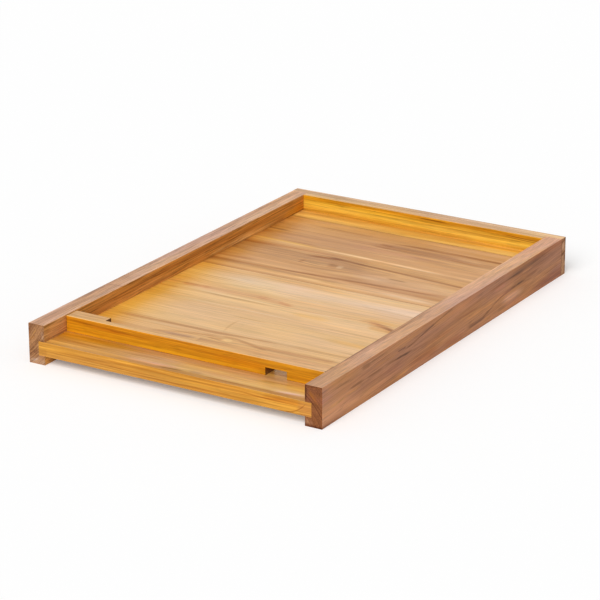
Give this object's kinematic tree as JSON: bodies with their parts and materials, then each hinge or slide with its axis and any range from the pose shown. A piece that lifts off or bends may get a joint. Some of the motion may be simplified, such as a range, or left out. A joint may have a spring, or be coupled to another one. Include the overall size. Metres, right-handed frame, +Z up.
{
  "type": "solid bottom board",
  "caption": "Solid wooden hive floor: grooved side rails and a rabbeted back rail round a boarded floor, with a loose notched entrance reducer that slides between the rails.",
  "frame": {"origin": "on the ground, at the middle of the board's footprint", "axes": "+Z up, front with the entrance towards -Y, +X to the right seen from the front"},
  "size_m": [0.3556, 0.536, 0.044],
  "materials": {
    "side_rail_wood": "waxed satin",
    "back_rail_wood": "waxed satin",
    "pale_floor_wood": "waxed satin",
    "brown_floor_wood": "waxed satin",
    "reducer_wood": "waxed satin",
    "nail_steel": "bright drawn wire"
  },
  "bodies": {
    "bottom_board": {"side_rail_left": "side_rail_wood", "side_rail_right": "side_rail_wood", "back_rail": "back_rail_wood", "floor_board_front": "pale_floor_wood", "floor_board_mid_front": "pale_floor_wood", "floor_board_mid_rear": "brown_floor_wood", "floor_board_rear": "pale_floor_wood", "corner_nails": "nail_steel"},
    "reducer": {"entrance_reducer": "reducer_wood"}
  },
  "joints": [
    {"name": "reducer_slide", "type": "slide", "parent": "bottom_board", "child": "reducer", "axis": [0, -1, 0], "range_m": [-0.459, 0.058]}
  ]
}
